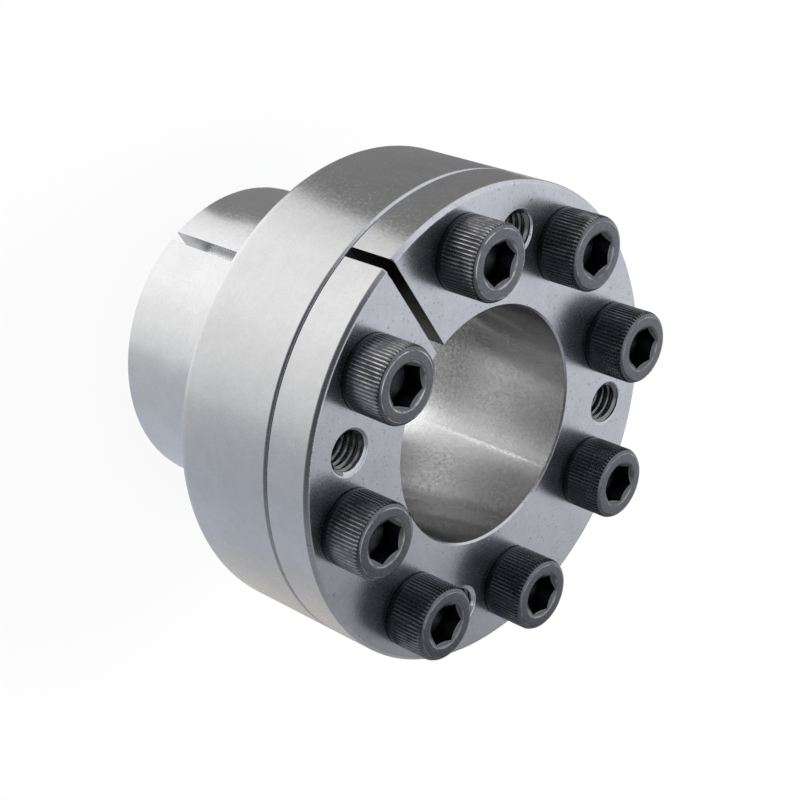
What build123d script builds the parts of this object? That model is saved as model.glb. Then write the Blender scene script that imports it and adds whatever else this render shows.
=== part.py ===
from build123d import *
import math
import os

# Clamping bushing for a round shaft in a round hub: two rings that meet on a cone, drawn
# together by cap screws. Millimetres and degrees. The axis is Z, the rear end face of the
# sleeve lies at z = 0, and the screw heads point to +Z. The slit lies on the +X side.

# Inner ring
shaft_diameter = 32.0
inner_wall = 1.6              # wall of the inner ring at its thin rear end
inner_setback = 1.0           # inner ring's rear end above the outer ring's rear face
cone_angle = 4.0              # half angle of the cone between the rings
flange_thickness = 7.0
slit_width = 1.5
bore_chamfer = 0.25

# Outer ring
cone_clearance = 0.04         # radial gap between the two cones as drawn together
sleeve_wall = 2.3             # thinnest wall of the sleeve, beside the shoulder
sleeve_length = 23.3          # part of the outer ring that goes into the hub
ring_thickness = 16.6         # thick ring that takes the screws
flange_gap = 0.15             # gap between the thick ring and the flange
slot_width = 1.5
slot_to_shoulder = 1.5        # sleeve left whole between the slot and the shoulder
shoulder_radius = 2.0         # rounding of the thick ring's rear rim
root_radius = 0.4             # rounding where the sleeve meets the shoulder
sleeve_chamfer = 0.4

# Rim shared by the flange and the thick ring
rim_margin = 1.85             # from the screw heads to the rim
front_chamfer = 0.35          # front edge of the flange
joint_chamfer = 0.3           # the two edges that face each other at the joint

# Cap screws and the tapped jack holes between them
screw_count = 8
screw_diameter = 6.0
screw_length = 20.0           # under the head
screw_web = 2.0               # metal between the cone and a tapped hole
thread_clearance = 0.05       # radial gap between a screw and its tapped hole
screw_hole_clearance = 0.3    # radial gap between a screw and its hole in the flange
tip_chamfer = 0.6
head_diameter = 10.0
head_height = 6.0
head_top_chamfer = 0.6
head_base_chamfer = 0.25
socket_width = 5.0            # across the flats
socket_depth = 3.0
socket_rim = 0.3              # countersink past the corners of the hexagon
socket_drill_angle = 120.0    # point angle of the drilled bottom
socket_turns = [12, 9, 55, 14, 14, 58, 24, 30]  # how far each screw is turned, where it is tight
countersink_width = 0.45      # at the upper end of every tapped hole
countersink_angle = 120.0

# Heights worked out from the sizes above
shoulder_z = sleeve_length
ring_front_z = shoulder_z + ring_thickness
flange_rear_z = ring_front_z + flange_gap
front_z = flange_rear_z + flange_thickness
cone_slope = math.tan(math.radians(cone_angle))
shaft_radius = shaft_diameter / 2


def cone_radius(z):
    """Radius of the inner ring's cone at a height."""
    return shaft_radius + inner_wall + (z - inner_setback) * cone_slope


def cone_bore_radius(z):
    """Radius of the conical bore of the outer ring at a height."""
    return cone_radius(z) + cone_clearance


# Radii worked out from the sizes above
hub_radius = cone_bore_radius(shoulder_z) + sleeve_wall
tapped_radius = screw_diameter / 2
screw_circle_radius = cone_bore_radius(ring_front_z) + screw_web + tapped_radius
rim_radius = screw_circle_radius + head_diameter / 2 + rim_margin

# Screws stand evenly round the axis, clear of the slit; every second space holds a jack hole
screw_pitch_angle = 360 / screw_count
screw_angles = [screw_pitch_angle * (i + 0.5) for i in range(screw_count)]
jack_angles = [screw_pitch_angle * (2 * i + 1) for i in range(screw_count // 2)]


def turned(points):
    """Solid turned about the Z axis from a closed outline of (radius, height) points."""
    outline = make_face(Polyline(*points, close=True))
    return revolve(Plane.XZ * outline, Axis.Z)


def round_edge(solid, radius, z):
    """The circular edge of a turned solid at a radius and a height."""
    circles = solid.edges().filter_by(GeomType.CIRCLE)
    return circles.sort_by(lambda edge: abs(edge.radius - radius) + abs(edge.center().Z - z))[0]


def on_screw_circle(tool, angles):
    """Copies of a tool, made on the Z axis, at angles round the screw circle."""
    centre = Pos(screw_circle_radius, 0, 0)
    return [Rot(0, 0, angle) * centre * tool for angle in angles]


def tapped_hole(low_z, high_z):
    """Cutter for a tapped hole between two faces, countersunk at the upper one."""
    depth = countersink_width / math.tan(math.radians(countersink_angle / 2))
    points = [
        (0, low_z - depth),
        (tapped_radius, low_z - depth),
        (tapped_radius, high_z - depth),
        (tapped_radius + 2 * countersink_width, high_z + depth),
        (0, high_z + depth),
    ]
    return turned(points)


def radial_cut(width, low_z, high_z, inner_radius, outer_radius):
    """Box on the +X side that cuts a straight slit through one side of a ring."""
    middle = Pos((inner_radius + outer_radius) / 2, 0, (low_z + high_z) / 2)
    return middle * Box(outer_radius - inner_radius, width, high_z - low_z)


def make_outer_ring():
    """Slotted sleeve for the hub with the thick tapped ring, bored to a cone."""
    blank = turned([
        (cone_bore_radius(0), 0),
        (hub_radius, 0),
        (hub_radius, shoulder_z),
        (rim_radius, shoulder_z),
        (rim_radius, ring_front_z),
        (cone_bore_radius(ring_front_z), ring_front_z),
    ])
    blank = fillet(round_edge(blank, rim_radius, shoulder_z), shoulder_radius)
    blank = fillet(round_edge(blank, hub_radius, shoulder_z), root_radius)
    blank = chamfer(round_edge(blank, hub_radius, 0), sleeve_chamfer)
    blank = chamfer(round_edge(blank, rim_radius, ring_front_z), joint_chamfer)
    blank = chamfer(round_edge(blank, cone_bore_radius(ring_front_z), ring_front_z), joint_chamfer)

    slot_end = shoulder_z - slot_to_shoulder
    slot = radial_cut(slot_width, -slot_width, slot_end, shaft_radius, hub_radius + slot_width)
    threads = on_screw_circle(tapped_hole(shoulder_z, ring_front_z), screw_angles)
    return blank - slot - threads


def make_inner_ring():
    """Flanged and tapered clamping ring, slit along its whole length."""
    blank = turned([
        (shaft_radius, inner_setback),
        (cone_radius(inner_setback), inner_setback),
        (cone_radius(flange_rear_z), flange_rear_z),
        (rim_radius, flange_rear_z),
        (rim_radius, front_z),
        (shaft_radius, front_z),
    ])
    blank = chamfer(round_edge(blank, rim_radius, front_z), front_chamfer)
    blank = chamfer(round_edge(blank, rim_radius, flange_rear_z), joint_chamfer)
    blank = chamfer(round_edge(blank, shaft_radius, front_z), bore_chamfer)
    blank = chamfer(round_edge(blank, shaft_radius, inner_setback), bore_chamfer)

    slit = radial_cut(slit_width, 0, front_z + slit_width, 0, rim_radius + slit_width)
    hole_height = (flange_rear_z + front_z) / 2
    screw_hole = Pos(0, 0, hole_height) * Cylinder(tapped_radius + screw_hole_clearance, 2 * flange_thickness)
    screw_holes = on_screw_circle(screw_hole, screw_angles)
    jack_holes = on_screw_circle(tapped_hole(flange_rear_z, front_z), jack_angles)
    return blank - slit - screw_holes - jack_holes


def make_cap_screw():
    """Socket head cap screw with its seat at z = 0 and its shank below."""
    shank_radius = screw_diameter / 2 - thread_clearance
    head_radius = head_diameter / 2
    body = turned([
        (0, -screw_length),
        (shank_radius - tip_chamfer, -screw_length),
        (shank_radius, -screw_length + tip_chamfer),
        (shank_radius, 0),
        (head_radius - head_base_chamfer, 0),
        (head_radius, head_base_chamfer),
        (head_radius, head_height - head_top_chamfer),
        (head_radius - head_top_chamfer, head_height),
        (0, head_height),
    ])
    floor_z = head_height - socket_depth
    hexagon = RegularPolygon(socket_width / 2, 6, major_radius=False)
    socket = extrude(Pos(0, 0, floor_z) * hexagon, 2 * socket_depth)
    corner_radius = socket_width / 2 / math.cos(math.radians(30))
    drill_slope = 1 / math.tan(math.radians(socket_drill_angle / 2))
    drill_point = turned([
        (0, floor_z - socket_width / 2 * drill_slope),
        (socket_width / 2, floor_z),
        (0, floor_z),
    ])
    rim_radius_at_face = corner_radius + socket_rim
    rim_cone = turned([
        (0, head_height - rim_radius_at_face * drill_slope),
        (rim_radius_at_face, head_height),
        (0, head_height),
    ])
    return body - socket - drill_point - rim_cone


parts = {
    "outer_ring": make_outer_ring(),
    "inner_ring": make_inner_ring(),
}
cap_screw = make_cap_screw()
screw_seat = Pos(screw_circle_radius, 0, front_z)
for i, angle in enumerate(screw_angles):
    turned_tight = Rot(0, 0, socket_turns[i % len(socket_turns)]) * cap_screw
    parts[f"screw_{i + 1}"] = Rot(0, 0, angle) * screw_seat * turned_tight

os.makedirs("parts", exist_ok=True)
for name, shape in parts.items():
    export_step(shape, f"parts/{name}.step")
    size = shape.bounding_box().size
    print(f"{name}: {shape.volume:.0f} mm3, {size.X:.2f} x {size.Y:.2f} x {size.Z:.2f} mm")

print(f"hub seat {2 * hub_radius:.3f}, rim {2 * rim_radius:.3f}, screw circle {2 * screw_circle_radius:.3f}")
print(f"front face at {front_z:.2f}, heads end at {front_z + head_height:.2f}")
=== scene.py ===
# %% [markdown]
# # A clamping bushing in bare steel with black screws
# The bushing grips a round shaft inside a round hub. Two steel rings meet on a slim cone, and
# eight cap screws draw them together, so that the inner one closes on the shaft and the outer
# one opens in the hub. The CAD model gives every size. This lesson adds what makes it look
# real: finishes, knurled heads, threads and studio light.

# %% Load the CAD model
import math

import bmesh
import bpy
from mathutils import Matrix, Vector


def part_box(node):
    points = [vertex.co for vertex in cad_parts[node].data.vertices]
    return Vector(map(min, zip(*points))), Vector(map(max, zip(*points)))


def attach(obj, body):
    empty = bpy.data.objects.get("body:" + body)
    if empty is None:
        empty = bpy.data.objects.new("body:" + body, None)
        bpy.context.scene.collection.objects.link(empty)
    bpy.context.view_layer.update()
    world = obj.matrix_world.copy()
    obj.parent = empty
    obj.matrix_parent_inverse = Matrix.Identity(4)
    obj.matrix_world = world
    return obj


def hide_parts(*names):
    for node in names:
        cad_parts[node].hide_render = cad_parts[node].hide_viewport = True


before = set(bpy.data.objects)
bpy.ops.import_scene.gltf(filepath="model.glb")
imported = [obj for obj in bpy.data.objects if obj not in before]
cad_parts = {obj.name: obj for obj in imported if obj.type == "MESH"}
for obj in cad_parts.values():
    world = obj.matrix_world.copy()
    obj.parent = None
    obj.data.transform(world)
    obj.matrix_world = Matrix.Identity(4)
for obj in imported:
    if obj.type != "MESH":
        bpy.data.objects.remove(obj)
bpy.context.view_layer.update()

MM = 0.001

# %% [markdown]
# ## The camera
# The real part lies tilted in its picture, but a part for a shelf stands upright in its own
# frame. So the camera leans instead: it looks down at the flange from near the side of the
# slit, and is rolled until the axis of the bushing runs as it does in the picture. The roll is
# one more turn about the line of sight, after the aim.

# %% Aim and roll the camera
LOOK_AT = Vector((-2.816, -0.238, 29.763)) * MM
CAMERA_AZIMUTH = math.radians(24.339)
CAMERA_ELEVATION = math.radians(39.226)
CAMERA_ROLL = math.radians(111.197)
CAMERA_DISTANCE = 246.054 * MM
CAMERA_LENS = 81.415


def direction_to(azimuth, elevation):
    """Direction from the part, from angles in radians."""
    level = math.cos(elevation)
    return Vector((math.cos(azimuth) * level, math.sin(azimuth) * level, math.sin(elevation)))


towards_camera = direction_to(CAMERA_AZIMUTH, CAMERA_ELEVATION)
lens = bpy.data.cameras.new("camera")
lens.lens = CAMERA_LENS
lens.sensor_width = 36
lens.clip_start = 0.01
lens.clip_end = 10
camera = bpy.data.objects.new("camera", lens)
bpy.context.scene.collection.objects.link(camera)
bpy.context.scene.camera = camera
aim = (-towards_camera).to_track_quat("-Z", "Y").to_matrix()
turned_aim = aim @ Matrix.Rotation(CAMERA_ROLL, 3, "Z")
stand = LOOK_AT + towards_camera * CAMERA_DISTANCE
camera.matrix_world = Matrix.Translation(stand) @ turned_aim.to_4x4()
print("camera up", [round(v, 4) for v in turned_aim.col[1]])

# %% [markdown]
# ## Two helpers for every node tree
# Materials and Geometry Nodes are both trees of nodes. One function adds a node with its
# settings and its links. The other turns a colour as it is read from a screen into the linear
# values that the renderer works with.

# %% Helpers for nodes and colours
def node(tree, kind, inputs=None, **settings):
    """Adds a node. A value in inputs that is a socket becomes a link."""
    made = tree.nodes.new(kind)
    for name, value in settings.items():
        setattr(made, name, value)
    for name, value in (inputs or {}).items():
        socket = made.inputs[name]
        if isinstance(value, bpy.types.NodeSocket):
            tree.links.new(value, socket)
        else:
            socket.default_value = value
    return made


def linear(hex_colour):
    """Linear RGBA from an sRGB colour such as #a0b0c0."""
    channels = [int(hex_colour[i:i + 2], 16) / 255 for i in (1, 3, 5)]
    return [c / 12.92 if c <= 0.04045 else ((c + 0.055) / 1.055) ** 2.4 for c in channels] + [1]


def darkened(hex_colour, factor):
    """Linear RGBA of an sRGB colour whose light is multiplied by a factor."""
    return [channel * factor for channel in linear(hex_colour)[:3]] + [1]


def new_material(name):
    """An empty material with its output node."""
    material = bpy.data.materials.new(name)
    material.use_nodes = True
    material.node_tree.nodes.clear()
    return material, material.node_tree


def finish_with(tree, shader):
    """Links a shader to the material's output."""
    node(tree, "ShaderNodeOutputMaterial", {"Surface": shader.outputs[0]})


def grain(tree, size_mm, stretch=(1, 1, 1), detail=2.0, roughness=0.5):
    """Noise whose grains measure about size_mm, on the piece's own coordinates."""
    place = node(tree, "ShaderNodeTexCoord")
    scaled = node(tree, "ShaderNodeMapping", {"Vector": place.outputs["Object"], "Scale": stretch})
    return node(tree, "ShaderNodeTexNoise", {
        "Vector": scaled.outputs[0],
        "Scale": 1 / (size_mm * MM),
        "Detail": detail,
        "Roughness": roughness,
    }).outputs["Fac"]


def between(tree, value, low, high, new_low=0.0, new_high=1.0):
    """Stretches the part of a value between low and high to a new range."""
    inputs = {"Value": value, 1: low, 2: high, 3: new_low, 4: new_high}
    return node(tree, "ShaderNodeMapRange", inputs).outputs[0]


def soft_edges(tree, radius):
    """Normal that rounds every edge by a small radius, as handling and tumbling do."""
    return node(tree, "ShaderNodeBevel", {"Radius": radius}, samples=8).outputs[0]


print("white in linear values", linear("#ffffff"), "middle grey", round(linear("#808080")[0], 3))

# %% [markdown]
# ## Bare steel, turned and tumbled
# The rim and the sleeve are turned on a lathe and then tumbled with small stones, which leaves
# an even satin skin: thousands of faint dents under half a millimetre, with the turning marks
# still just there. The eye reads it from how softly the skin mirrors the room, so most of the
# work lies in roughness and bump, not in colour. Steel is a metal, so its colour is what it
# mirrors, and the IOR stays as it comes.
#
# The same function makes the cuts that look different. The bore is finished round its axis, so
# its marks spread the light along the axis, which the anisotropic setting does. It also keeps
# a thin film of oil and dust, a small matt share in the metal, broken up by fine flecks. Deep
# in the bore light is mirrored many times, and the film keeps those last mirrorings from
# turning black where the renderer stops following them. The slit is sawn, so it is dull, and
# its colour is a dark brown that paints the shade inside the narrow slit. The slot of the sleeve
# is milled. The threads are tapped, and their colour is set darker than the turned steel, which
# paints the shade in the deep holes.

# %% Steel cut in several ways
TUMBLED_EDGE = 0.12 * MM
MARK_SIZE = 0.25
MARKS_ROUND_AXIS = (0.03, 0.03, 1)


def filmed(tree, colour, metal, turning, film):
    """The metal's colour under a film of oily dust, broken up by flecks along the marks."""
    flecks = node(tree, "ShaderNodeMath", {
        0: between(tree, grain(tree, 0.3, detail=2.0), 0.34, 0.52),
        1: between(tree, turning, 0.3, 0.6, 0.7, 1.0),
    }, operation="MULTIPLY")
    flecked = node(tree, "ShaderNodeMix", {0: flecks.outputs[0], 7: metal}, data_type="RGBA")
    flecked.inputs[6].default_value = darkened(colour, 1 - 2 * film)
    return flecked.outputs[2]


def bare_steel(name, colour, smooth, rough, dent_size, dent_depth, marks, lay=0.0, film=0.0):
    """Satin steel. Sizes and depths in millimetres, lay spreads light along the axis."""
    material, tree = new_material(name)
    dents = grain(tree, dent_size, detail=2.0)
    specks = grain(tree, 1.1 * dent_size, detail=3.0)
    turning = grain(tree, MARK_SIZE, stretch=MARKS_ROUND_AXIS, detail=2.0)
    clouds = grain(tree, 4.0, detail=6.5, roughness=0.88)
    shade = node(tree, "ShaderNodeMix", {0: between(tree, clouds, 0.25, 0.75)}, data_type="RGBA")
    shade.inputs[6].default_value = linear(colour)
    shade.inputs[7].default_value = darkened(colour, 0.84)
    metal = shade.outputs[2]
    if film:
        metal = filmed(tree, colour, metal, turning, film)
    skin = node(tree, "ShaderNodeBump", {
        "Height": dents,
        "Strength": 1.0,
        "Distance": dent_depth * MM,
        "Normal": soft_edges(tree, TUMBLED_EDGE),
    })
    skin = node(tree, "ShaderNodeBump", {
        "Height": turning,
        "Strength": 1.0,
        "Distance": marks * MM,
        "Normal": skin.outputs[0],
    })
    shader = node(tree, "ShaderNodeBsdfPrincipled", {
        "Base Color": metal,
        "Metallic": 1.0 - film,
        "Roughness": between(tree, specks, 0.42, 0.72, smooth, rough),
        "Anisotropic": lay,
        "Normal": skin.outputs[0],
    })
    if lay:
        along_axis = node(tree, "ShaderNodeCombineXYZ", {"Z": 1.0})
        tree.links.new(along_axis.outputs[0], shader.inputs["Tangent"])
    finish_with(tree, shader)
    return material


turned_steel = bare_steel(
    "turned_and_tumbled_steel", "#efefef",
    smooth=0.14, rough=0.36, dent_size=0.45, dent_depth=0.010, marks=0.001)
bored_steel = bare_steel(
    "bored_steel", "#c2c2c2",
    smooth=0.13, rough=0.24, dent_size=0.45, dent_depth=0.004, marks=0.002, lay=0.9, film=0.09)
# The sawn slit's dark brown colour is painted shade inside the narrow slit
sawn_steel_with_painted_shade = bare_steel(
    "sawn_steel_with_painted_shade", "#45413f",
    smooth=0.38, rough=0.45, dent_size=0.30, dent_depth=0.002, marks=0.0)
slotted_steel = bare_steel(
    "milled_slot_steel", "#b6b7bd",
    smooth=0.22, rough=0.30, dent_size=0.40, dent_depth=0.006, marks=0.0)
# The threads' colour is set darker than the turned steel, as painted shade in the deep holes
thread_steel_with_painted_shade = bare_steel(
    "cut_thread_steel_with_painted_shade", "#8b8c90",
    smooth=0.18, rough=0.28, dent_size=0.30, dent_depth=0.004, marks=0.0)
bare_steels = (turned_steel, bored_steel, sawn_steel_with_painted_shade, slotted_steel, thread_steel_with_painted_shade)
print("bare steels", [steel.name for steel in bare_steels])

# %% [markdown]
# ## Ground steel with fine pits
# The front face is ground flat, a little duller than the rim, and dotted with tiny dark pits.
# Its colour is tinted blue, which paints the bluish light that the face mirrors. The pits are a
# second noise, cut off so that only its rare low spots count. The face's outer edge has been
# rounded more by handling than its other edges, so the rounding grows near the rim.

# %% Ground face of the flange
ROUNDED_FROM = 30.4 * MM
ROUNDED_TO = 31.2 * MM
GROUND_EDGE = 0.08 * MM
RIM_EDGE = 0.28 * MM


def pitted_steel(name):
    """Ground steel with small scattered pits and a well rounded outer edge."""
    material, tree = new_material(name)
    place = node(tree, "ShaderNodeTexCoord")
    flat = node(tree, "ShaderNodeVectorMath", {
        0: place.outputs["Object"], 1: (1, 1, 0),
    }, operation="MULTIPLY")
    reach = node(tree, "ShaderNodeVectorMath", {0: flat.outputs[0]}, operation="LENGTH")
    rounding = between(tree, reach.outputs["Value"], ROUNDED_FROM, ROUNDED_TO, GROUND_EDGE, RIM_EDGE)
    tooth = grain(tree, 0.25, detail=3.0, roughness=0.65)
    clouds = grain(tree, 5.0, detail=6.0, roughness=0.92)
    pits = between(tree, grain(tree, 0.40, detail=1.5), 0.25, 0.34)
    shade = node(tree, "ShaderNodeMix", {0: between(tree, clouds, 0.25, 0.75)}, data_type="RGBA")
    # The blue tint of the face's two colours is a painted reflection of bluish light
    shade.inputs[6].default_value = linear("#dcdfe8")
    shade.inputs[7].default_value = linear("#c3c6d0")
    darker = node(tree, "ShaderNodeMix", {0: pits, 7: shade.outputs[2]}, data_type="RGBA")
    darker.inputs[6].default_value = linear("#a0a3ac")
    height = node(tree, "ShaderNodeMath", {0: tooth, 1: pits}, operation="ADD")
    skin = node(tree, "ShaderNodeBump", {
        "Height": height.outputs[0],
        "Strength": 1.0,
        "Distance": 0.004 * MM,
        "Normal": soft_edges(tree, rounding),
    })
    shader = node(tree, "ShaderNodeBsdfPrincipled", {
        "Base Color": darker.outputs[2],
        "Metallic": 1.0,
        "Roughness": between(tree, tooth, 0.3, 0.7, 0.21, 0.28),
        "Normal": skin.outputs[0],
    })
    finish_with(tree, shader)
    return material


ground_face = pitted_steel("ground_steel_face")
print("ground face", len(ground_face.node_tree.nodes), "nodes")

# %% [markdown]
# ## Black oxide, rubbed at its crests, with painted shade and highlight
# The screws are blackened in a hot salt bath. The skin is a dark oxide about a thousandth of a
# millimetre thick, slightly oily, so it is near black with a steely sheen. Where the screws rub
# against each other in their box, the oxide is gone and bare steel shows: on the crests of the
# knurl and along the rims. The meshes carry a number for that: 1 at a crest, a half on the open
# faces and 0 in the grooves and on the smooth band at the foot of the head, where the oxide is
# painted darker as the shade that falls there. Another number says how much a place on a screw
# is rubbed, and a patchy noise breaks the lines up. That number is partly wear and partly painted
# light: it is largest on the screws nearest the camera's side and on one side of each head, which
# paints their highlights, and it fades towards the foot of the head, which paints shade there.
# Where the ribs are not rubbed, their crests are painted darker than the turned top of the head,
# as painted shade on the dark sides of the heads.

# %% Black oxide on the screws
SCREW_EDGE = 0.05 * MM
# The oxide is painted darker in the grooves and on the foot band (first share) and on crests that are
# not rubbed (second share): painted shade
GROOVE_SHADE_SHARE = 0.22
CREST_SHADE_SHARE = 0.66


def black_oxide(name, oxide, rubbed_and_lit):
    """Dark oxide skin that is rubbed to steel where the mesh says so, and painted darker as shade in
    the grooves and on crests that are not rubbed.
    """
    material, tree = new_material(name)
    mottle = grain(tree, 0.35, detail=3.0)
    wear_and_shade = node(tree, "ShaderNodeAttribute", attribute_name="wear_and_shade").outputs["Fac"]
    rubbing_and_light = node(tree, "ShaderNodeAttribute", attribute_name="rubbed_and_lit").outputs["Fac"]
    crest = between(tree, wear_and_shade, 0.72, 1.0)
    patches = between(tree, grain(tree, 1.6, detail=4.0), 0.36, 0.60, 0.15, 1.0)
    worn = node(tree, "ShaderNodeMath", {0: crest, 1: patches}, operation="MULTIPLY")
    # Bare steel where the crests are rubbed: partly wear, partly painted highlight
    bared_and_lit = node(tree, "ShaderNodeMath", {0: worn.outputs[0], 1: rubbing_and_light}, operation="MULTIPLY")
    # Painted shade: the grooves and the foot band are darkened, with a faint random mottle on top
    groove_shade_and_mottle = node(tree, "ShaderNodeMath", {
        0: between(tree, wear_and_shade, 0.0, 0.5, GROOVE_SHADE_SHARE, 1.0),
        1: between(tree, mottle, 0.3, 0.7, 0.72, 1.0),
    }, operation="MULTIPLY")
    # Painted shade: crests that are not rubbed are darkened
    crest_shade = node(tree, "ShaderNodeMath", {
        0: groove_shade_and_mottle.outputs[0], 1: between(tree, wear_and_shade, 0.5, 0.75, 1.0, CREST_SHADE_SHARE),
    }, operation="MULTIPLY")
    skin_colour = node(tree, "ShaderNodeMix", {0: crest_shade.outputs[0]}, data_type="RGBA")
    skin_colour.inputs[6].default_value = (0, 0, 0, 1)
    skin_colour.inputs[7].default_value = linear(oxide)
    colour = node(tree, "ShaderNodeMix", {
        0: bared_and_lit.outputs[0], 6: skin_colour.outputs[2],
    }, data_type="RGBA")
    colour.inputs[7].default_value = linear(rubbed_and_lit)
    skin = node(tree, "ShaderNodeBump", {
        "Height": mottle,
        "Strength": 1.0,
        "Distance": 0.006 * MM,
        "Normal": soft_edges(tree, SCREW_EDGE),
    })
    shader = node(tree, "ShaderNodeBsdfPrincipled", {
        "Base Color": colour.outputs[2],
        "Metallic": 1.0,
        "Roughness": between(tree, mottle, 0.3, 0.7, 0.22, 0.32),
        "Normal": skin.outputs[0],
    })
    finish_with(tree, shader)
    return material


screw_black = black_oxide("black_oxide_steel", "#797b84", "#dad8d4")
print("black oxide", len(screw_black.node_tree.nodes), "nodes")

# %% [markdown]
# ## Growing repeated shapes with Geometry Nodes
# Knurls and threads repeat by a rule: so many ribs round a head, so many turns along a shank.
# Geometry Nodes say that rule once, with named sizes. Each tree is run on an empty carrier, its
# result is kept as a plain mesh, and the carrier is thrown away.

# %% Start a tree and run it
def start_tree(name, sizes):
    """A geometry tree with named number inputs. Returns the tree and its input node."""
    tree = bpy.data.node_groups.new(name, "GeometryNodeTree")
    for label, kind in sizes.items():
        tree.interface.new_socket(name=label, in_out="INPUT", socket_type=kind)
    tree.interface.new_socket(name="Geometry", in_out="OUTPUT", socket_type="NodeSocketGeometry")
    return tree, node(tree, "NodeGroupInput").outputs


def end_tree(tree, geometry, material):
    """Makes instances real and gives them their material, as the last two steps."""
    real = node(tree, "GeometryNodeRealizeInstances", {"Geometry": geometry})
    done = node(tree, "GeometryNodeSetMaterial", {"Geometry": real.outputs[0], "Material": material})
    node(tree, "NodeGroupOutput", {"Geometry": done.outputs[0]})


def grown(tree, values):
    """Runs a tree with its named values and returns the result as a plain mesh."""
    carrier = bpy.data.objects.new("carrier", bpy.data.meshes.new("carrier"))
    bpy.context.scene.collection.objects.link(carrier)
    modifier = carrier.modifiers.new("grow", "NODES")
    modifier.node_group = tree
    for item in tree.interface.items_tree:
        if item.in_out == "INPUT":
            modifier[item.identifier] = values[item.name]
    evaluated = carrier.evaluated_get(bpy.context.evaluated_depsgraph_get())
    mesh = bpy.data.meshes.new_from_object(evaluated)
    bpy.data.objects.remove(carrier)
    return mesh


# %% [markdown]
# ## A thread is a profile that climbs a helix
# One turn of an M6 thread climbs one millimetre. The ridge is a trapezoid, wide where it grows
# from the metal and narrow at its crest, and Curve to Mesh carries it along a spiral. Outside on
# a screw the ridge points outwards, and inside a tapped hole it points to the middle.

# %% Thread tree
THREAD_PITCH = 1.0 * MM
FOOT_SHARE = 0.86
CREST_SHARE = 0.14


def thread_tree(name, material, side):
    """Helical ridge. side is 1 for a ridge that points outwards and -1 for one that points in."""
    tree, sizes = start_tree(name, {
        "Root radius": "NodeSocketFloat",
        "Depth": "NodeSocketFloat",
        "Pitch": "NodeSocketFloat",
        "Turns": "NodeSocketFloat",
    })
    rise = node(tree, "ShaderNodeMath", {0: sizes["Pitch"], 1: sizes["Turns"]}, operation="MULTIPLY")
    helix = node(tree, "GeometryNodeCurveSpiral", {
        "Resolution": 36,
        "Rotations": sizes["Turns"],
        "Start Radius": sizes["Root radius"],
        "End Radius": sizes["Root radius"],
        "Height": rise.outputs[0],
        "Reverse": True,
    })
    upright = node(tree, "GeometryNodeSetCurveNormal", {"Curve": helix.outputs[0]})
    upright.mode = "Z_UP"
    foot = node(tree, "ShaderNodeMath", {0: sizes["Pitch"], 1: FOOT_SHARE}, operation="MULTIPLY")
    crest = node(tree, "ShaderNodeMath", {0: sizes["Pitch"], 1: CREST_SHARE}, operation="MULTIPLY")
    ridge = node(tree, "GeometryNodeCurvePrimitiveQuadrilateral", mode="TRAPEZOID")
    tree.links.new(sizes["Depth"], ridge.inputs["Height"])
    tree.links.new(foot.outputs[0], ridge.inputs["Bottom Width"])
    tree.links.new(crest.outputs[0], ridge.inputs["Top Width"])
    ridge.inputs["Offset"].default_value = 0
    half = node(tree, "ShaderNodeMath", {0: sizes["Depth"], 1: 0.5 * side}, operation="MULTIPLY")
    out = node(tree, "ShaderNodeCombineXYZ", {"X": half.outputs[0]})
    turned = node(tree, "GeometryNodeTransform", {
        "Geometry": ridge.outputs[0],
        "Translation": out.outputs[0],
        "Rotation": (0, 0, -side * math.pi / 2),
    })
    wound = node(tree, "GeometryNodeCurveToMesh", {
        "Curve": upright.outputs[0],
        "Profile Curve": turned.outputs[0],
        "Fill Caps": True,
    })
    end_tree(tree, wound.outputs[0], material)
    return tree


screw_thread_tree = thread_tree("screw_thread", screw_black, 1)
hole_thread_tree = thread_tree("hole_thread", thread_steel_with_painted_shade, -1)
print("thread trees", screw_thread_tree.name, hole_thread_tree.name)


# %% Measure what a tree has made
def measured(label, mesh):
    """Prints the faces, the radius and the height of a mesh made round the Z axis."""
    radii = [math.hypot(v.co.x, v.co.y) / MM for v in mesh.vertices]
    heights = [v.co.z / MM for v in mesh.vertices]
    print(label, len(mesh.polygons), "faces, radius", round(min(radii), 3), "to", round(max(radii), 3),
          "height", round(min(heights), 3), "to", round(max(heights), 3))
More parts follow.
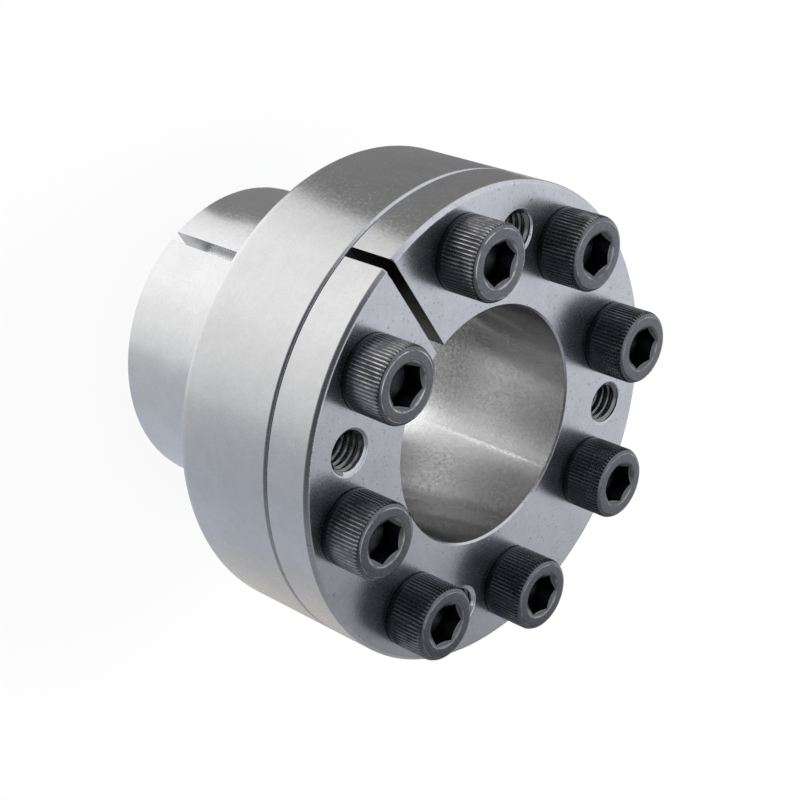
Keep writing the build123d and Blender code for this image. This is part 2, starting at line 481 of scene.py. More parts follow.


# %% [markdown]
# ## Knurl ribs round a head
# The side of a cap screw's head is knurled: fine straight grooves are rolled into it, so that
# fingers can turn it. Between the grooves stand ribs. A smooth band stays below them, and above
# they run out on the rounded edge of the head. One rib is a straight bar with a narrow crest,
# half sunk in the bottom of the grooves and trimmed where the head is rounded. It is set on each
# point of a circle and turned to face outwards. Its crest is marked as worn, and its lower half
# as dark, which the material turns into painted shade in the grooves.

# %% Knurl tree
def knurl_tree(name, material):
    """Ribs that stand evenly on a circle, crests marked as worn and lower halves marked for painted
    shade.
    """
    tree, sizes = start_tree(name, {
        "Count": "NodeSocketInt",
        "Valley radius": "NodeSocketFloat",
        "Foot width": "NodeSocketFloat",
        "Crest width": "NodeSocketFloat",
        "Rib height": "NodeSocketFloat",
        "Base": "NodeSocketFloat",
        "Edge": "NodeSocketFloat",
        "Top": "NodeSocketFloat",
    })
    low_end = node(tree, "ShaderNodeCombineXYZ", {"Z": sizes["Base"]})
    high_end = node(tree, "ShaderNodeCombineXYZ", {"Z": sizes["Top"]})
    line = node(tree, "GeometryNodeCurvePrimitiveLine", {
        "Start": low_end.outputs[0], "End": high_end.outputs[0],
    })
    steps = node(tree, "GeometryNodeResampleCurve", {"Curve": line.outputs[0], "Count": 40})
    height = node(tree, "ShaderNodeMath", {0: sizes["Rib height"], 1: 2.0}, operation="MULTIPLY")
    bar = node(tree, "GeometryNodeCurvePrimitiveQuadrilateral", {
        "Height": height.outputs[0],
        "Bottom Width": sizes["Foot width"],
        "Top Width": sizes["Crest width"],
        "Offset": 0.0,
    }, mode="TRAPEZOID")
    section = node(tree, "GeometryNodeTransform", {
        "Geometry": bar.outputs[0], "Rotation": (0, 0, -math.pi / 2),
    })
    rib = node(tree, "GeometryNodeCurveToMesh", {
        "Curve": steps.outputs[0],
        "Profile Curve": section.outputs[0],
        "Fill Caps": True,
    })
    place = node(tree, "GeometryNodeInputPosition")
    point = node(tree, "ShaderNodeSeparateXYZ", {"Vector": place.outputs[0]})
    shoulder = node(tree, "ShaderNodeMath", {0: sizes["Rib height"], 1: 0.5}, operation="MULTIPLY")
    # 0 from halfway down the rib, which the material paints dark as shade in the grooves; 1 at the
    # crest, for wear
    worn = node(tree, "ShaderNodeMapRange", {
        "Value": point.outputs["X"], 1: shoulder.outputs[0], 2: sizes["Rib height"],
    })
    marked = node(tree, "GeometryNodeStoreNamedAttribute", {
        "Geometry": rib.outputs[0], "Name": "wear_and_shade", "Value": worn.outputs[0],
    })
    allowed = node(tree, "ShaderNodeMapRange", {
        "Value": point.outputs["Z"], 1: sizes["Edge"], 2: sizes["Top"], 3: sizes["Rib height"], 4: 0.0,
    })
    lowered = node(tree, "ShaderNodeMath", {
        0: point.outputs["X"], 1: allowed.outputs[0],
    }, operation="MINIMUM")
    trimmed = node(tree, "ShaderNodeCombineXYZ", {
        "X": lowered.outputs[0], "Y": point.outputs["Y"], "Z": point.outputs["Z"],
    })
    cut = node(tree, "GeometryNodeSetPosition", {
        "Geometry": marked.outputs[0], "Position": trimmed.outputs[0],
    })
    circle = node(tree, "GeometryNodeMeshCircle", {
        "Vertices": sizes["Count"], "Radius": sizes["Valley radius"],
    })
    facing = node(tree, "FunctionNodeAlignRotationToVector", {"Vector": place.outputs[0]}, axis="X")
    ribs = node(tree, "GeometryNodeInstanceOnPoints", {
        "Points": circle.outputs[0],
        "Instance": cut.outputs[0],
        "Rotation": facing.outputs[0],
    })
    end_tree(tree, ribs.outputs[0], material)
    return tree


# %% Grow the knurl and the thread of a screw
RIB_COUNT = 60
BAND_RADIUS = 4.99 * MM
VALLEY_RADIUS = 4.80 * MM
BAND_TOP = 0.75 * MM
EDGE_START = 5.36 * MM
EDGE_END = 5.72 * MM
knurl = grown(knurl_tree("knurl", screw_black), {
    "Count": RIB_COUNT,
    "Valley radius": VALLEY_RADIUS,
    "Foot width": 0.84 * MM,
    "Crest width": 0.13 * MM,
    "Rib height": BAND_RADIUS - VALLEY_RADIUS,
    "Base": BAND_TOP,
    "Edge": EDGE_START,
    "Top": EDGE_END,
})
measured("knurl", knurl)

CORE_RADIUS = 2.42 * MM
screw_thread = grown(screw_thread_tree, {
    "Root radius": CORE_RADIUS,
    "Depth": 0.53 * MM,
    "Pitch": THREAD_PITCH,
    "Turns": 17.4,
})
measured("screw thread", screw_thread)

# %% [markdown]
# ## The body of a cap screw
# A screw without its ribs and thread is one closed skin that runs through a stack of loops: from
# the tip up the shank, out under the head, up its side, in over the top edge, and down into the
# socket. All loops have the same number of points, a multiple of six, so the round ones can pass
# into the hexagon of the socket without a seam. Where the countersink meets the flats, its loop
# rises and falls, and that makes the six scallops that catch the light. The loops at the head's
# upper edge and at the rim of the countersink are marked as worn, because they rub first.

# %% Skin a stack of loops
LOOP_POINTS = 96


def ring_loop(radius, z):
    """Round loop."""
    steps = [2 * math.pi * i / LOOP_POINTS for i in range(LOOP_POINTS)]
    return [Vector((radius * math.cos(a), radius * math.sin(a), z)) for a in steps]


def hexagon_radius(angle, flats):
    """Distance from the middle of a hexagon to its side, with a corner at angle 0."""
    past_corner = angle % (math.pi / 3)
    return flats / 2 / math.cos(past_corner - math.pi / 6)


def hexagon_loop(flats, height_at):
    """Six-sided loop whose height depends on the distance from the axis."""
    loop = []
    for i in range(LOOP_POINTS):
        angle = 2 * math.pi * i / LOOP_POINTS
        radius = hexagon_radius(angle, flats)
        loop.append(Vector((radius * math.cos(angle), radius * math.sin(angle), height_at(radius))))
    return loop


def skinned(name, loops, material, wear_and_shade_of):
    """Closed skin through a stack of loops. The table gives the wear of the loops that have some; the
    others get 0, which the material paints dark as shade.
    """
    shell = bmesh.new()
    wear_and_shade = shell.verts.layers.float.new("wear_and_shade")
    rows = [[shell.verts.new(point) for point in loop] for loop in loops]
    for row, amount in wear_and_shade_of.items():
        for vertex in rows[row]:
            vertex[wear_and_shade] = amount
    for lower, upper in zip(rows, rows[1:]):
        for i in range(LOOP_POINTS):
            j = (i + 1) % LOOP_POINTS
            shell.faces.new((lower[i], lower[j], upper[j], upper[i]))
    for row in (rows[0], rows[-1]):
        middle = shell.verts.new(sum((v.co for v in row), Vector()) / LOOP_POINTS)
        for i in range(LOOP_POINTS):
            shell.faces.new((row[i], row[(i + 1) % LOOP_POINTS], middle))
    bmesh.ops.recalc_face_normals(shell, faces=shell.faces)
    mesh = bpy.data.meshes.new(name)
    shell.to_mesh(mesh)
    shell.free()
    mesh.materials.append(material)
    return mesh


print("a loop has", LOOP_POINTS, "points,", LOOP_POINTS // 6, "for each flat of a socket")

# %% The loops of an M6 cap screw
HEAD_HEIGHT = 6 * MM
SOCKET_FLATS = 5 * MM
SOCKET_DEPTH = 3 * MM
SOCKET_FLOOR = HEAD_HEIGHT - SOCKET_DEPTH
DRILL_POINT = 1.4 * MM
COUNTERSINK_RADIUS = 3.19 * MM
RUN_OUT = 0.18 * MM

# Fall of a 120 degree cone for each millimetre towards its axis
COUNTERSINK_SLOPE = 0.577

# Points as (radius, height above the head's lower face) in millimetres
shank_mm = [
    (1.0, -20), (1.85, -20), (2.42, -19.43), (2.42, -1.3), (2.95, -1.0), (2.95, -0.15), (3.2, 0),
]
head_mm = [(4.75, 0), (4.88, 0.06), (4.99, 0.22)]
top_mm = [
    (4.79, 5.73), (4.69, 5.83), (4.53, 5.93), (4.41, 5.975),
    (4.34, 5.994), (4.26, 6.0), (3.34, 6.0), (3.25, 6.0),
]
screw_loops = [ring_loop(r * MM, z * MM) for r, z in shank_mm + head_mm]
screw_loops += [ring_loop(BAND_RADIUS, BAND_TOP), ring_loop(VALLEY_RADIUS, BAND_TOP + RUN_OUT)]
screw_loops += [ring_loop(VALLEY_RADIUS, 3 * MM), ring_loop(VALLEY_RADIUS, EDGE_END)]
top_start = len(screw_loops)
screw_loops += [ring_loop(r * MM, z * MM) for r, z in top_mm]
screw_loops.append(ring_loop(COUNTERSINK_RADIUS, HEAD_HEIGHT - 0.02 * MM))
# Loops from the top of the head get a half; the loops below keep 0, which the material paints dark as
# shade
wear_and_shade_of = {row: 0.5 for row in range(top_start, len(screw_loops) + 1)}
WORN_ROWS = (3, 4, 8)
for row in WORN_ROWS:
    wear_and_shade_of[top_start + row] = 1.0


def countersink(radius):
    """Height of the countersink at a distance from the screw's axis."""
    return HEAD_HEIGHT - (COUNTERSINK_RADIUS - radius) * COUNTERSINK_SLOPE


def socket_floor(radius):
    """Height of the socket's flat floor, the same at any distance from the axis."""
    return SOCKET_FLOOR


screw_loops.append(hexagon_loop(SOCKET_FLATS, countersink))
screw_loops.append(hexagon_loop(SOCKET_FLATS, socket_floor))
screw_loops.append(ring_loop(0.98 * SOCKET_FLATS / 2, SOCKET_FLOOR - 0.01 * MM))
screw_loops.append(ring_loop(0.1 * MM, SOCKET_FLOOR - DRILL_POINT))
screw_body = skinned("screw_body", screw_loops, screw_black, wear_and_shade_of)
measured("screw body", screw_body)

# %% [markdown]
# ## Eight screws, each as it was tightened
# Body, knurl and thread are put together once, and copied to the eight places of the screw
# circle. A real screw stops wherever it is tight, so each copy stands turned by its own angle.
# Each has also been rubbed by its own amount, on one side more than on the others and less near
# the foot of the head. This is partly wear and partly painted light: the screws nearest the
# camera's side are rubbed most, which paints their highlights, and the foot of each head stays
# dark as painted shade. The upper edges of all of them are rubbed at least by half. Edges sharper
# than thirty degrees stay crisp, all others are smooth.

# %% Join and shade
def joined(name, placed_meshes):
    """One mesh from several, each with the matrix that puts it in place."""
    whole = bmesh.new()
    materials = []
    for mesh, matrix in placed_meshes:
        part = bmesh.new()
        part.from_mesh(mesh)
        bmesh.ops.transform(part, matrix=matrix, verts=part.verts)
        for face in part.faces:
            material = mesh.materials[face.material_index]
            if material not in materials:
                materials.append(material)
            face.material_index = materials.index(material)
        moved = bpy.data.meshes.new("moved")
        part.to_mesh(moved)
        part.free()
        whole.from_mesh(moved)
        bpy.data.meshes.remove(moved)
    result = bpy.data.meshes.new(name)
    whole.to_mesh(result)
    whole.free()
    for material in materials:
        result.materials.append(material)
    return result


def shade_smooth(mesh, sharp_degrees=30):
    """Smooth shading that stops at sharp edges."""
    skin = bmesh.new()
    skin.from_mesh(mesh)
    for face in skin.faces:
        face.smooth = True
    for edge in skin.edges:
        corner = edge.calc_face_angle(math.pi)
        edge.smooth = corner < math.radians(sharp_degrees)
    skin.to_mesh(mesh)
    skin.free()


def show(name, mesh, body, slot, *nodes):
    """Makes a piece of a mesh, for the CAD nodes it stands for."""
    piece = bpy.data.objects.new(name, mesh)
    bpy.context.scene.collection.objects.link(piece)
    even = piece.modifiers.new("even_normals", "WEIGHTED_NORMAL")
    even.keep_sharp = True
    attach(piece, body)
    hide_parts(*nodes)
    return piece


# %% How far each screw is turned and rubbed
SCREW_CIRCLE = 25.36 * MM
FRONT_FACE = 47.05 * MM
SOCKET_TURNS = [34.5, 16.5, 47.5, 51.5, 36.5, 5.5, 16.5, 7.5]
TOP_EDGE = 5.9 * MM
TOP_RUBBED = 0.5
# Near the foot of the head the rubbing fades out, which paints the shade there
FOOT_SHADE_HEIGHT = 1.3 * MM
FOOT_SHADE_FADE = 1.8 * MM
# Share kept on the side facing away, so one side of each head is painted brighter
BACK_RUBBED_AND_LIT = 0.12

# How much each screw is rubbed and towards which direction, in degrees from the slit.
# Partly wear and partly painted highlight: largest on the screws nearest the camera's side
RUBBED_AND_LIT_SIDES = [
    (1.0, 10), (0.65, 45), (0.35, 85), (0.2, 85),
    (0.1, 25), (0.3, -45), (0.6, -25), (1.0, -10),
]


def on_screw_circle(angle, height):
    """Matrix that places something on the screw circle."""
    across = (SCREW_CIRCLE * math.cos(angle), SCREW_CIRCLE * math.sin(angle))
    return Matrix.Translation((*across, height))


def rubbed_and_lit_at(point, seat, amount, side_degrees):
    """How much a point of a screw is rubbed, with painted highlight on one side and painted shade near
    the foot. seat is the middle of the head's lower face.
    """
    direction = math.atan2(point.y - seat.y, point.x - seat.x)
    facing = max(0, math.cos(direction - math.radians(side_degrees)))
    above_foot = min(max((point.z - seat.z - FOOT_SHADE_HEIGHT) / FOOT_SHADE_FADE, 0), 1)
    if point.z - seat.z > TOP_EDGE:
        return max(amount, TOP_RUBBED)
    return amount * (BACK_RUBBED_AND_LIT + (1 - BACK_RUBBED_AND_LIT) * facing) * above_foot


print("screws turned by", SOCKET_TURNS, "degrees")

# %% Place the eight screws
SCREW_THREAD_START = -19.0 * MM
for number, (turn, rubbed_and_lit_side) in enumerate(zip(SOCKET_TURNS, RUBBED_AND_LIT_SIDES), 1):
    seat = on_screw_circle(math.radians(45 * (number - 0.5)), FRONT_FACE)
    tightened = seat @ Matrix.Rotation(math.radians(turn), 4, "Z")
    threaded = tightened @ Matrix.Translation((0, 0, SCREW_THREAD_START))
    name = f"cap_screw_{number}"
    mesh = joined(name, [(screw_body, tightened), (knurl, tightened), (screw_thread, threaded)])
    amounts = [rubbed_and_lit_at(v.co, seat.translation, *rubbed_and_lit_side) for v in mesh.vertices]
    rubbed_and_lit = mesh.attributes.new("rubbed_and_lit", "FLOAT", "POINT")
    rubbed_and_lit.data.foreach_set("value", amounts)
    shade_smooth(mesh)
    show(name, mesh, f"screw_{number}_body", "black_screw", f"screw_{number}")
print("cap screw", len(mesh.polygons), "faces")

# %% [markdown]
# ## The two rings
# Both rings are right in the CAD model, slits, holes and chamfers included. Their meshes come as
# loose triangles with flat light on each, so a copy is merged and shaded smooth between its sharp
# edges. Each surface then gets the finish of the cut that made it, told by where it lies: sawn in
# the slit, milled in the slot, bored inside, cut by a tap in the holes, and turned or ground
# elsewhere. Two edges that catch the light in the picture are set to the width seen there: the
# chamfer round the front face, and the countersinks of the jack holes.

# %% Merge a copy of a CAD ring
def merged_copy(node_name, materials, surface):
    """Merged copy of a CAD node. surface(centre, normal) tells which material a face gets."""
    copy = bmesh.new()
    copy.from_mesh(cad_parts[node_name].data)
    bmesh.ops.remove_doubles(copy, verts=copy.verts, dist=0.001 * MM)
    for face in copy.faces:
        face.material_index = surface(face.calc_center_median(), face.normal)
    mesh = bpy.data.meshes.new(node_name + "_skin")
    copy.to_mesh(mesh)
    copy.free()
    for material in materials:
        mesh.materials.append(material)
    return mesh


def distance_from_axis(point):
    """Distance from the bushing's axis."""
    return math.hypot(point.x, point.y)


def from_jack_hole(point):
    """Level vector to a point from the axis of the nearest of the four jack holes."""
    quarter = math.floor(math.atan2(point.y, point.x) / (math.pi / 2))
    angle = (quarter + 0.5) * math.pi / 2
    hole = on_screw_circle(angle, 0).translation
    return Vector((point.x - hole.x, point.y - hole.y, 0))


# %% Which finish each face of the rings gets
SHAFT_RADIUS = 16 * MM
TAPPED_RADIUS = 3 * MM
RIM_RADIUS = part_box("inner_ring")[1].x
INNER_FINISHES = [ground_face, bored_steel, turned_steel, sawn_steel_with_painted_shade, thread_steel_with_painted_shade]


def inner_surface(centre, normal):
    """Which of the inner ring's finishes a face gets."""
    radius = distance_from_axis(centre)
    if normal.z > 0.5:
        return INNER_FINISHES.index(ground_face)
    if abs(normal.y) > 0.999 and abs(centre.y) < 1 * MM:
        return INNER_FINISHES.index(sawn_steel_with_painted_shade)
    if radius < SHAFT_RADIUS + 0.5 * MM:
        return INNER_FINISHES.index(bored_steel)
    if abs(normal.z) < 0.1 and from_jack_hole(centre).length < TAPPED_RADIUS + 0.1 * MM:
        return INNER_FINISHES.index(thread_steel_with_painted_shade)
    return INNER_FINISHES.index(turned_steel)


OUTER_FINISHES = [turned_steel, slotted_steel, thread_steel_with_painted_shade, ground_face]
HUB_RADIUS = 21.5 * MM


def outer_surface(centre, normal):
    """Which of the outer ring's finishes a face gets."""
    radius = distance_from_axis(centre)
    outwards = Vector((centre.x, centre.y, 0)).normalized().dot(normal)
    if normal.z > 0.5:
        return OUTER_FINISHES.index(ground_face)
    if abs(normal.y) > 0.999 and abs(centre.y) < 1 * MM and centre.x > 0:
        return OUTER_FINISHES.index(slotted_steel)
    if abs(normal.z) < 0.1 and HUB_RADIUS + 0.1 * MM < radius < RIM_RADIUS - 2.1 * MM:
        return OUTER_FINISHES.index(thread_steel_with_painted_shade)
    # The ring's inward faces get the same darker steel, as painted shade inside the ring
    if radius < HUB_RADIUS and outwards < -0.5:
        return OUTER_FINISHES.index(thread_steel_with_painted_shade)
    return OUTER_FINISHES.index(turned_steel)


print("finishes", len(INNER_FINISHES), "on the inner ring,", len(OUTER_FINISHES), "on the outer")

# %% Fit the front edges to the picture
CAD_CHAMFER = 0.35 * MM
SEEN_CHAMFER = 0.50 * MM
CAD_COUNTERSINK = 0.45 * MM
SEEN_COUNTERSINK = 0.15 * MM
NEARNESS = 0.02 * MM
CHAMFER_REACH = CAD_CHAMFER + NEARNESS


def near(value, target):
    """Whether two lengths are about the same."""
    return abs(value - target) < NEARNESS


def fit_edges_to_picture(mesh):
    """Widens the front chamfer and narrows the countersinks, at the angles they have."""
    for vertex in mesh.vertices:
        radius = distance_from_axis(vertex.co)
        below_face = FRONT_FACE - vertex.co.z
        from_hole = from_jack_hole(vertex.co)
        if RIM_RADIUS - radius < CHAMFER_REACH and below_face < CHAMFER_REACH:
            share = below_face / CAD_CHAMFER
            shrink = 1 - (1 - share) * (SEEN_CHAMFER - CAD_CHAMFER) / radius
            vertex.co = (vertex.co.x * shrink, vertex.co.y * shrink, FRONT_FACE - share * SEEN_CHAMFER)
        elif near(below_face, 0) and near(from_hole.length, TAPPED_RADIUS + CAD_COUNTERSINK):
            vertex.co = vertex.co - from_hole.normalized() * (CAD_COUNTERSINK - SEEN_COUNTERSINK)
        elif below_face < 0.3 * MM and near(from_hole.length, TAPPED_RADIUS):
            vertex.co.z = FRONT_FACE - SEEN_COUNTERSINK * COUNTERSINK_SLOPE


inner_skin = merged_copy("inner_ring", INNER_FINISHES, inner_surface)
fit_edges_to_picture(inner_skin)
outer_skin = merged_copy("outer_ring", OUTER_FINISHES, outer_surface)
print("rim radius", round(RIM_RADIUS / MM, 3))

# %% [markdown]
# ## Threads in the holes
# The countersink leaves nothing of the thread's first turn above its cone. Each point of the
# ridge that stands above the cone slides back along the ridge's flank until it lies on the cone,
# and what would be cut off whole disappears in the wall of the hole.

# %% Threads in the jack holes and in the mouths of the tapped holes
THREAD_DEPTH = 0.5 * MM
THREAD_ROOT = 3.02 * MM
FLANK_SLOPE = (FOOT_SHARE - CREST_SHARE) / 2 * THREAD_PITCH / THREAD_DEPTH


def cut_by_countersink(mesh, top, cut_material):
    """Slices the end of a thread off along the countersink, whose wide end lies at top."""
    low = top - 0.01 * MM
    cut = set()
    for vertex in mesh.vertices:
        radius = distance_from_axis(vertex.co)
        cone = low - (TAPPED_RADIUS + SEEN_COUNTERSINK - radius) * COUNTERSINK_SLOPE
        if vertex.co.z > cone:
            slide = (vertex.co.z - cone) / (FLANK_SLOPE + COUNTERSINK_SLOPE)
            cut_radius = min(radius + slide, THREAD_ROOT)
            vertex.co.x *= cut_radius / radius
            vertex.co.y *= cut_radius / radius
            vertex.co.z = low - (TAPPED_RADIUS + SEEN_COUNTERSINK - cut_radius) * COUNTERSINK_SLOPE
            cut.add(vertex.index)
    mesh.materials.append(cut_material)
    for face in mesh.polygons:
        if cut.issuperset(face.vertices):
            face.material_index = 1


jack_thread = grown(hole_thread_tree, {
    "Root radius": THREAD_ROOT,
    "Depth": THREAD_DEPTH,
    "Pitch": THREAD_PITCH,
    "Turns": 6.95,
})
JACK_THREAD_START = 40.4 * MM
cut_by_countersink(jack_thread, FRONT_FACE - JACK_THREAD_START, ground_face)
measured("jack thread", jack_thread)
inner_parts = [(inner_skin, Matrix.Identity(4))]
for number in range(4):
    angle = math.radians(45 + 90 * number)
    foot = on_screw_circle(angle, JACK_THREAD_START)
    inner_parts.append((jack_thread, foot @ Matrix.Rotation(angle, 4, "Z")))
inner_ring = joined("flanged_inner_ring", inner_parts)
shade_smooth(inner_ring)
show("flanged_inner_ring", inner_ring, "inner_body", "ground_steel", "inner_ring")

mouth_thread = grown(hole_thread_tree, {
    "Root radius": THREAD_ROOT,
    "Depth": THREAD_DEPTH,
    "Pitch": THREAD_PITCH,
    "Turns": 2.6,
})
MOUTH_THREAD_START = 23.8 * MM
outer_parts = [(outer_skin, Matrix.Identity(4))]
for number in range(8):
    place = on_screw_circle(math.radians(45 * (number + 0.5)), MOUTH_THREAD_START)
    outer_parts.append((mouth_thread, place))
outer_ring = joined("tapped_outer_ring", outer_parts)
shade_smooth(outer_ring)
show("tapped_outer_ring", outer_ring, "outer_body", "turned_steel", "outer_ring")
print("rings", len(inner_ring.polygons), len(outer_ring.polygons), "faces")

# %% [markdown]
# ## Floor, cards and light
# Bare metal shows what stands around it, so it is lit by its surroundings. The floor and the
# room are white in the camera and in mirrored rays. A photographer lays cards round such a part
# to shape its tones. Here a toned sheet lies on the floor and a toned tent stands round the part,
# and only mirrored rays see them. The sheet gives the round sides their dark and grey bands, and
# the tent tones the flat face and the heads. A card under the bore lights its wall from below,
# and a strip of white paper inside the slot draws the thin bright line along the bore.

# %% Floor
def only_mirrored(card):
    """Lets a card show in mirrored rays alone."""
    card.visible_camera = False
    card.visible_diffuse = False
    card.visible_shadow = False
    card.visible_transmission = False


def stage_piece(name, corners, faces, material):
    """Stage piece from its corners, in millimetres, and its faces."""
    mesh = bpy.data.meshes.new(name)
    mesh.from_pydata([Vector(corner) * MM for corner in corners], [], faces)
    mesh.materials.append(material)
    piece = bpy.data.objects.new(name, mesh)
    bpy.context.scene.collection.objects.link(piece)
    return piece


def seen_directly(tree):
    """1 for camera, mirrored and see-through rays, and 0 for the rest."""
    path = node(tree, "ShaderNodeLightPath")
    two = node(tree, "ShaderNodeMath", {
        0: path.outputs["Is Camera Ray"], 1: path.outputs["Is Glossy Ray"],
    }, operation="MAXIMUM")
    return node(tree, "ShaderNodeMath", {
        0: two.outputs[0], 1: path.outputs["Is Transmission Ray"],
    }, operation="MAXIMUM").outputs[0]


GLOW_SHARE = 0.90
FLOOR_HALF = 2500
floor_paint, tree = new_material("pale_floor")
matt = node(tree, "ShaderNodeBsdfDiffuse", {"Color": linear("#f4f4f4")})
glow = node(tree, "ShaderNodeEmission", {"Color": (1, 1, 1, 1), "Strength": 1.0})
share = node(tree, "ShaderNodeMath", {0: seen_directly(tree), 1: GLOW_SHARE}, operation="MULTIPLY")
finish_with(tree, node(tree, "ShaderNodeMixShader", {
    0: share.outputs[0], 1: matt.outputs[0], 2: glow.outputs[0],
}))
stage_piece("floor", [
    (-FLOOR_HALF, -FLOOR_HALF, 0), (FLOOR_HALF, -FLOOR_HALF, 0),
    (FLOOR_HALF, FLOOR_HALF, 0), (-FLOOR_HALF, FLOOR_HALF, 0),
], [(0, 1, 2, 3)], floor_paint)
print("floor", 2 * FLOOR_HALF, "mm wide")


# %% Tones round the part
def tone_ramp(tree, value, stops):
    """Colour that follows a value, from (value, shade) stops. A shade is a number or a colour."""
    ramp = node(tree, "ShaderNodeValToRGB", {"Fac": value})
    marks = ramp.color_ramp.elements
    while len(marks) < len(stops):
        marks.new(0.5)
    for mark, (position, shade) in zip(marks, stops):
        mark.position = position
        mark.color = linear(shade) if isinstance(shade, str) else (shade, shade, shade, 1)
    return ramp.outputs[0]


def tones_by_direction(tree, tones, closeness=1.0):
    """Shade that changes with the direction from the axis, from (degrees, shade) pairs.

    A closeness over 1 draws the tones together, towards the camera's side.
    """
    place = node(tree, "ShaderNodeTexCoord")
    turned_back = node(tree, "ShaderNodeMapping", {
        "Vector": place.outputs["Object"], "Rotation": (0, 0, -CAMERA_AZIMUTH),
    })
    around = node(tree, "ShaderNodeTexGradient", {
        "Vector": turned_back.outputs[0],
    }, gradient_type="RADIAL")
    sideways = node(tree, "ShaderNodeMath", {
        0: around.outputs["Fac"], 1: 0.5,
    }, operation="SUBTRACT")
    drawn_in = node(tree, "ShaderNodeMath", {
        0: sideways.outputs[0], 1: closeness, 2: 0.5,
    }, operation="MULTIPLY_ADD")
    stops = [(degrees / 360 + 0.5, shade) for degrees, shade in tones]
    return tone_ramp(tree, drawn_in.outputs[0], stops)


def turned_stage_piece(name, outline, material):
    """Stage piece for mirrored rays, turned from (radius, height) points in millimetres."""
    steps = 72
    corners = []
    for radius, z in outline:
        for i in range(steps):
            angle = 2 * math.pi * i / steps
            corners.append((radius * math.cos(angle), radius * math.sin(angle), z))
    faces = []
    for row in range(len(outline) - 1):
        low = row * steps
        high = low + steps
        for i in range(steps):
            j = (i + 1) % steps
            faces.append((low + i, low + j, high + j, high + i))
    only_mirrored(stage_piece(name, corners, faces, material))
    print(name, len(faces), "faces")


# %% [markdown]
# ## The tent
# A dome of cloth stands round the part. Its directions count from the camera: at 0 degrees the
# wall is behind the camera, and at 180 opposite. It is dark on the camera's side, so that the
# sides of the heads stay black, and bright opposite, which is what the flat face mirrors. The
# foot of the dark side is lighter, because a flat face seen from the other side and from low
# down mirrors that part alone, and would turn black.

# %% The tent
TENT_RADIUS = 700
TENT_FOOT = 1
TENT_SEAM = 66
TENT_TIP = 89.9
LOW_BAND_TOP = 300 * MM
HIGH_BAND_FOOT = 450 * MM


def dome(low_degrees, high_degrees):
    """Outline of a part of the tent's dome between two elevations, in millimetres."""
    steps = 10
    outline = []
    for i in range(steps + 1):
        angle = math.radians(low_degrees + (high_degrees - low_degrees) * i / steps)
        outline.append((TENT_RADIUS * math.cos(angle), TENT_RADIUS * math.sin(angle)))
    return outline


wall_tone, tree = new_material("tent_wall_tone")
low_shade = tones_by_direction(tree, [
    (-180, 0.70), (-164, 0.84), (-99, 0.90), (-62, 0.86), (-44, 0.52),
    (-20, 0.42), (10, 0.38), (50, 0.24), (82, 0.26), (125, 0.40),
    (145, 0.33), (160, 0.24), (168, 0.28), (179, 0.68),
])
high_shade = tones_by_direction(tree, [
    (-180, 0.70), (-164, 0.84), (-99, 0.90), (-62, 0.86), (-52, 0.40), (-38, 0.14),
    (-20, 0.08), (0, 0.05), (30, 0.06), (44, 0.08), (62, 0.10), (82, 0.26),
    (125, 0.40), (145, 0.33), (160, 0.24), (168, 0.28), (179, 0.68),
])
place = node(tree, "ShaderNodeTexCoord")
height = node(tree, "ShaderNodeSeparateXYZ", {"Vector": place.outputs["Object"]})
raised = between(tree, height.outputs["Z"], LOW_BAND_TOP, HIGH_BAND_FOOT)
wall_shade = node(tree, "ShaderNodeMix", {
    0: raised, 6: low_shade, 7: high_shade,
}, data_type="RGBA")
finish_with(tree, node(tree, "ShaderNodeEmission", {"Color": wall_shade.outputs[2], "Strength": 1.0}))
turned_stage_piece("tent_wall", dome(TENT_FOOT, TENT_SEAM), wall_tone)

top_tone, tree = new_material("tent_top_tone")
finish_with(tree, node(tree, "ShaderNodeEmission", {"Color": linear("#f0f1f3"), "Strength": 1.0}))
turned_stage_piece("tent_top", dome(TENT_SEAM, TENT_TIP), top_tone)

# %% [markdown]
# ## The sheet on the floor
# The round sides mirror the floor, each strip of them another direction, so tones that change
# with the direction become bands along the axis. A ray mirrored low on the side meets the floor
# close by, before it has swung as far round as one that goes far out. So the tones are drawn
# together close to the part, which keeps the bands straight. The dark sector makes the dark
# band, and a faint blue and a faint warm tint lie beside it, as from a window and a lamp.

# %% The toned sheet on the floor
SHEET_HEIGHT = 0.2
SHEET_HOLE = 21.6
SHEET_REACH = 2000
CLOSENESS_END = 29.5 * MM
BRIGHT_END = 38 * MM
PLAIN_START = 60 * MM
sheet_tone, tree = new_material("floor_sheet_tone")
place = node(tree, "ShaderNodeTexCoord")
reach = node(tree, "ShaderNodeVectorMath", {0: place.outputs["Object"]}, operation="LENGTH")
closeness = between(tree, reach.outputs["Value"], SHEET_HOLE * MM, CLOSENESS_END, 1.42, 1.05)
sheet_shade = tones_by_direction(tree, [
    (-180, 0.70), (-142, 0.72), (-133, 0.21), (-66, 0.21), (-60, 0.27), (-55.5, 0.70),
    (-48, 0.82), (-36, 0.94), (-12, 0.96), (2, 0.84), (15, 0.75), (25, 0.66), (32, 0.51),
    (41, 0.46), (57, 0.46), (78, 0.50), (92, 0.49), (112, 0.52), (130, 0.52),
    (150, 0.40), (179, 0.40),
], closeness)
sheet_tint = tones_by_direction(tree, [
    (-180, "#ffffff"), (8, "#ffffff"), (55, "#edf2ff"),
    (78, "#edf2ff"), (112, "#fffaf4"), (150, "#ffffff"),
])
tinted = node(tree, "ShaderNodeMix", {
    0: 1.0, 6: sheet_shade, 7: sheet_tint,
}, data_type="RGBA", blend_type="MULTIPLY")

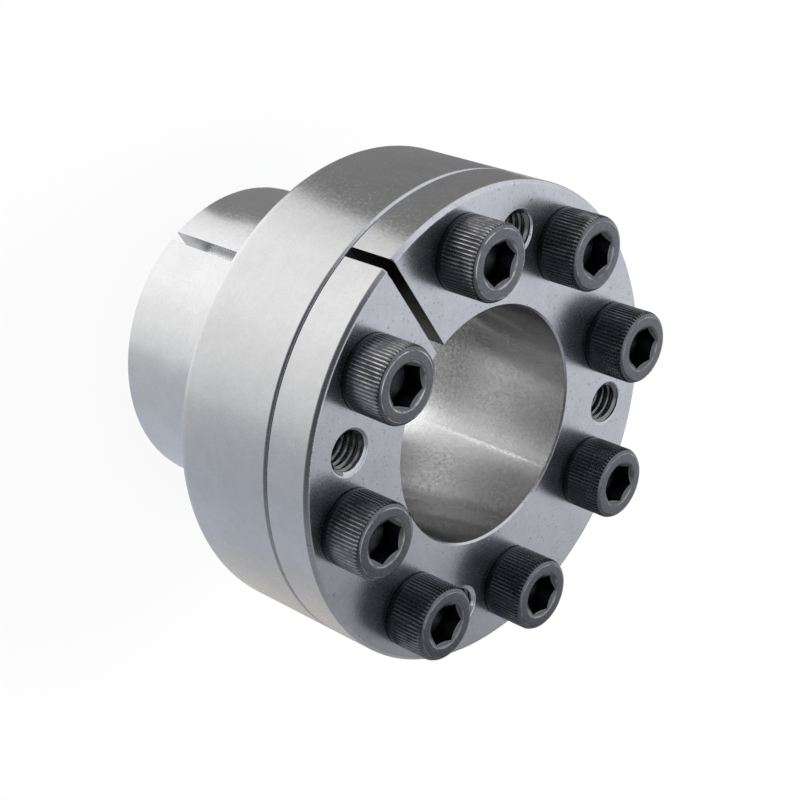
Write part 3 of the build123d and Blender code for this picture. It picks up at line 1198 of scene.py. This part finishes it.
# A little brighter close to the part
strength = between(tree, reach.outputs["Value"], BRIGHT_END, PLAIN_START, 1.16, 0.99)
finish_with(tree, node(tree, "ShaderNodeEmission", {
    "Color": tinted.outputs[2], "Strength": strength,
}))
turned_stage_piece("floor_sheet", [
    (SHEET_HOLE, SHEET_HEIGHT), (SHEET_REACH, SHEET_HEIGHT),
], sheet_tone)

# %% [markdown]
# ## Light from inside
# The wall of the bore mirrors what lies under the part. A round card there has one bright strip
# across it, turned a few degrees from the slit, which makes the bright zone of the wall and lets
# both sides fall off. The thin bright line is light that comes in through the slot of the sleeve
# and the slit. A strip of white paper stands in the slot for it. Its outer side is clear, so
# that the slot looks empty from outside.

# %% Card under the bore and paper in the slot
STRIP_TURN = math.radians(7)
STRIP_HALF = 3 * MM
STRIP_FADE_END = 9.5 * MM
CARD_RADIUS = 15
glow_tone, tree = new_material("bore_card_tone")
place = node(tree, "ShaderNodeTexCoord")
turned_back = node(tree, "ShaderNodeMapping", {
    "Vector": place.outputs["Object"], "Rotation": (0, 0, STRIP_TURN),
})
across = node(tree, "ShaderNodeSeparateXYZ", {"Vector": turned_back.outputs[0]})
off_strip = node(tree, "ShaderNodeMath", {0: across.outputs["Y"]}, operation="ABSOLUTE")
strip = between(tree, off_strip.outputs[0], STRIP_HALF, STRIP_FADE_END, 2.75, 0.24)
finish_with(tree, node(tree, "ShaderNodeEmission", {"Color": (1, 1, 1, 1), "Strength": strip}))
turned_stage_piece("bore_card", [(0.1, SHEET_HEIGHT), (CARD_RADIUS, SHEET_HEIGHT)], glow_tone)

PAPER_X = 19.2
PAPER_HALF = 0.7
PAPER_LOW = 0.5
PAPER_HIGH = 21.6
PAPER_STRENGTH = 2.2
paper_tone, tree = new_material("slot_paper_tone")
side = node(tree, "ShaderNodeNewGeometry")
shine = node(tree, "ShaderNodeEmission", {"Color": (1, 1, 1, 1), "Strength": PAPER_STRENGTH})
clear = node(tree, "ShaderNodeBsdfTransparent")
finish_with(tree, node(tree, "ShaderNodeMixShader", {
    0: side.outputs["Backfacing"], 1: shine.outputs[0], 2: clear.outputs[0],
}))
only_mirrored(stage_piece("slot_paper", [
    (PAPER_X, -PAPER_HALF, PAPER_LOW), (PAPER_X, -PAPER_HALF, PAPER_HIGH),
    (PAPER_X, PAPER_HALF, PAPER_HIGH), (PAPER_X, PAPER_HALF, PAPER_LOW),
], [(0, 1, 2, 3)], paper_tone))
print("slot paper", PAPER_HIGH - PAPER_LOW, "mm high")

# %% [markdown]
# ## Lamps and room
# Two soft lamps light what is matt and cast the faint shadow on the floor. Metal would mirror
# them as hard squares, so they are hidden from mirrored rays. The room is white where it is seen
# and a little darker where it only lights.

# %% Lamps and room
LAMP_TARGET = Vector((0, 0, 30 * MM))


def soft_lamp(name, azimuth, elevation, distance, size, watts, colour="#ffffff"):
    """Square soft lamp that looks at the part."""
    data = bpy.data.lights.new(name, "AREA")
    data.shape = "SQUARE"
    data.size = size
    data.energy = watts
    data.color = linear(colour)[:3]
    lamp = bpy.data.objects.new(name, data)
    bpy.context.scene.collection.objects.link(lamp)
    direction = direction_to(math.radians(azimuth), math.radians(elevation))
    turn = (-direction).to_track_quat("-Z", "Y").to_matrix().to_4x4()
    lamp.matrix_world = Matrix.Translation(LAMP_TARGET + direction * distance) @ turn
    lamp.visible_glossy = False
    print(name, watts, "W")


soft_lamp("key_lamp", azimuth=250, elevation=50, distance=0.7, size=0.5, watts=3.0)
soft_lamp("fill_lamp", azimuth=60, elevation=60, distance=0.8, size=0.6, watts=1.5)

world = bpy.data.worlds.new("studio")
bpy.context.scene.world = world
world.use_nodes = True
sky = world.node_tree
sky.nodes.clear()
room = node(sky, "ShaderNodeMix", {0: seen_directly(sky)}, data_type="RGBA")
room.inputs[6].default_value = linear("#d0d2d8")
room.inputs[7].default_value = (1, 1, 1, 1)
background = node(sky, "ShaderNodeBackground", {"Color": room.outputs[2], "Strength": 1.0})
node(sky, "ShaderNodeOutputWorld", {"Surface": background.outputs[0]})
bpy.context.scene.view_settings.view_transform = "Standard"
